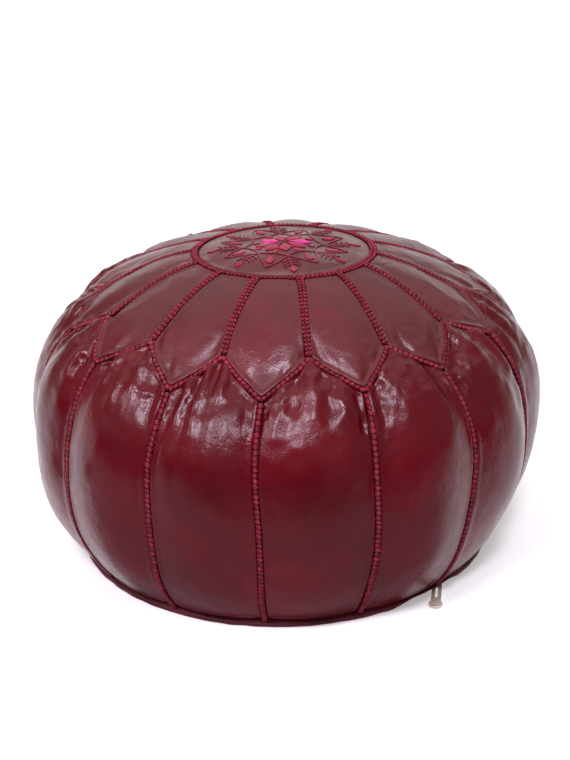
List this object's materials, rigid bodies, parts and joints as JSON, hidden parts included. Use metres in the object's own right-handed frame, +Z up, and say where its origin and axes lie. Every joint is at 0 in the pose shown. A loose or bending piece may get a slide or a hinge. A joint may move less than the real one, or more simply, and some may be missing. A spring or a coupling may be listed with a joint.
{
  "type": "leather pouf",
  "caption": "Round stuffed leather floor pouf with braided seams, a petal crown round an embroidered medallion, and a zip across its base.",
  "frame": {"origin": "centre of the bounding box on the floor, which is on the pouf's axis", "axes": "+Z up the pouf's axis; -Y towards the side seam at the front; the zip closes just past the side seam two panels round from it, on the +X side"},
  "size_m": [0.5302, 0.5276, 0.3228],
  "materials": {
    "side_leather": "glossy",
    "crown_leather": "glossy",
    "base_leather": "satin",
    "braid_thread": "thread",
    "embroidery_silk": "silk thread",
    "lining_cotton": "woven",
    "wadding": "fibre",
    "zip_tape": "woven",
    "zip_nylon": "satin",
    "zip_metal": "antique nickel"
  },
  "bodies": {
    "cover": {"side_panel_01": "side_leather", "side_panel_02": "side_leather", "side_panel_03": "side_leather", "side_panel_04": "side_leather", "side_panel_05": "side_leather", "side_panel_06": "side_leather", "side_panel_07": "side_leather", "side_panel_08": "side_leather", "side_panel_09": "side_leather", "side_panel_10": "side_leather", "side_panel_11": "side_leather", "side_panel_12": "side_leather", "side_panel_13": "side_leather", "side_panel_14": "side_leather", "crown_panel_01": "crown_leather", "crown_panel_02": "crown_leather", "crown_panel_03": "crown_leather", "crown_panel_04": "crown_leather", "crown_panel_05": "crown_leather", "crown_panel_06": "crown_leather", "crown_panel_07": "crown_leather", "crown_panel_08": "crown_leather", "crown_panel_09": "crown_leather", "crown_panel_10": "crown_leather", "crown_panel_11": "crown_leather", "crown_panel_12": "crown_leather", "crown_panel_13": "crown_leather", "crown_panel_14": "crown_leather", "medallion": "crown_leather", "medallion_embroidery": "embroidery_silk", "side_braid_01": "braid_thread", "side_braid_02": "braid_thread", "side_braid_03": "braid_thread", "side_braid_04": "braid_thread", "side_braid_05": "braid_thread", "side_braid_06": "braid_thread", "side_braid_07": "braid_thread", "side_braid_08": "braid_thread", "side_braid_09": "braid_thread", "side_braid_10": "braid_thread", "side_braid_11": "braid_thread", "side_braid_12": "braid_thread", "side_braid_13": "braid_thread", "side_braid_14": "braid_thread", "zigzag_braid": "braid_thread", "crown_braid": "braid_thread", "liner_bag": "lining_cotton", "wadding_core": "wadding", "base_left": "base_leather", "base_right": "base_leather", "hem_welt": "base_leather", "zip_coil_left": "zip_nylon", "zip_coil_right": "zip_nylon", "zip_tape_left": "zip_tape", "zip_tape_right": "zip_tape", "zip_bottom_stop": "zip_metal"},
    "slider": {"zip_slider": "zip_metal"},
    "pull": {"zip_pull": "zip_metal"}
  },
  "joints": [
    {"name": "zip_run", "type": "slide", "parent": "cover", "child": "slider", "axis": [-0.809, 0.5878, 0], "range_m": [0, 0.37]},
    {"name": "pull_swing", "type": "hinge", "parent": "slider", "child": "pull", "pos_m": [0.16666, -0.12108, 0.00355], "axis": [0.5878, 0.809, 0], "range_deg": [0, 175]}
  ]
}
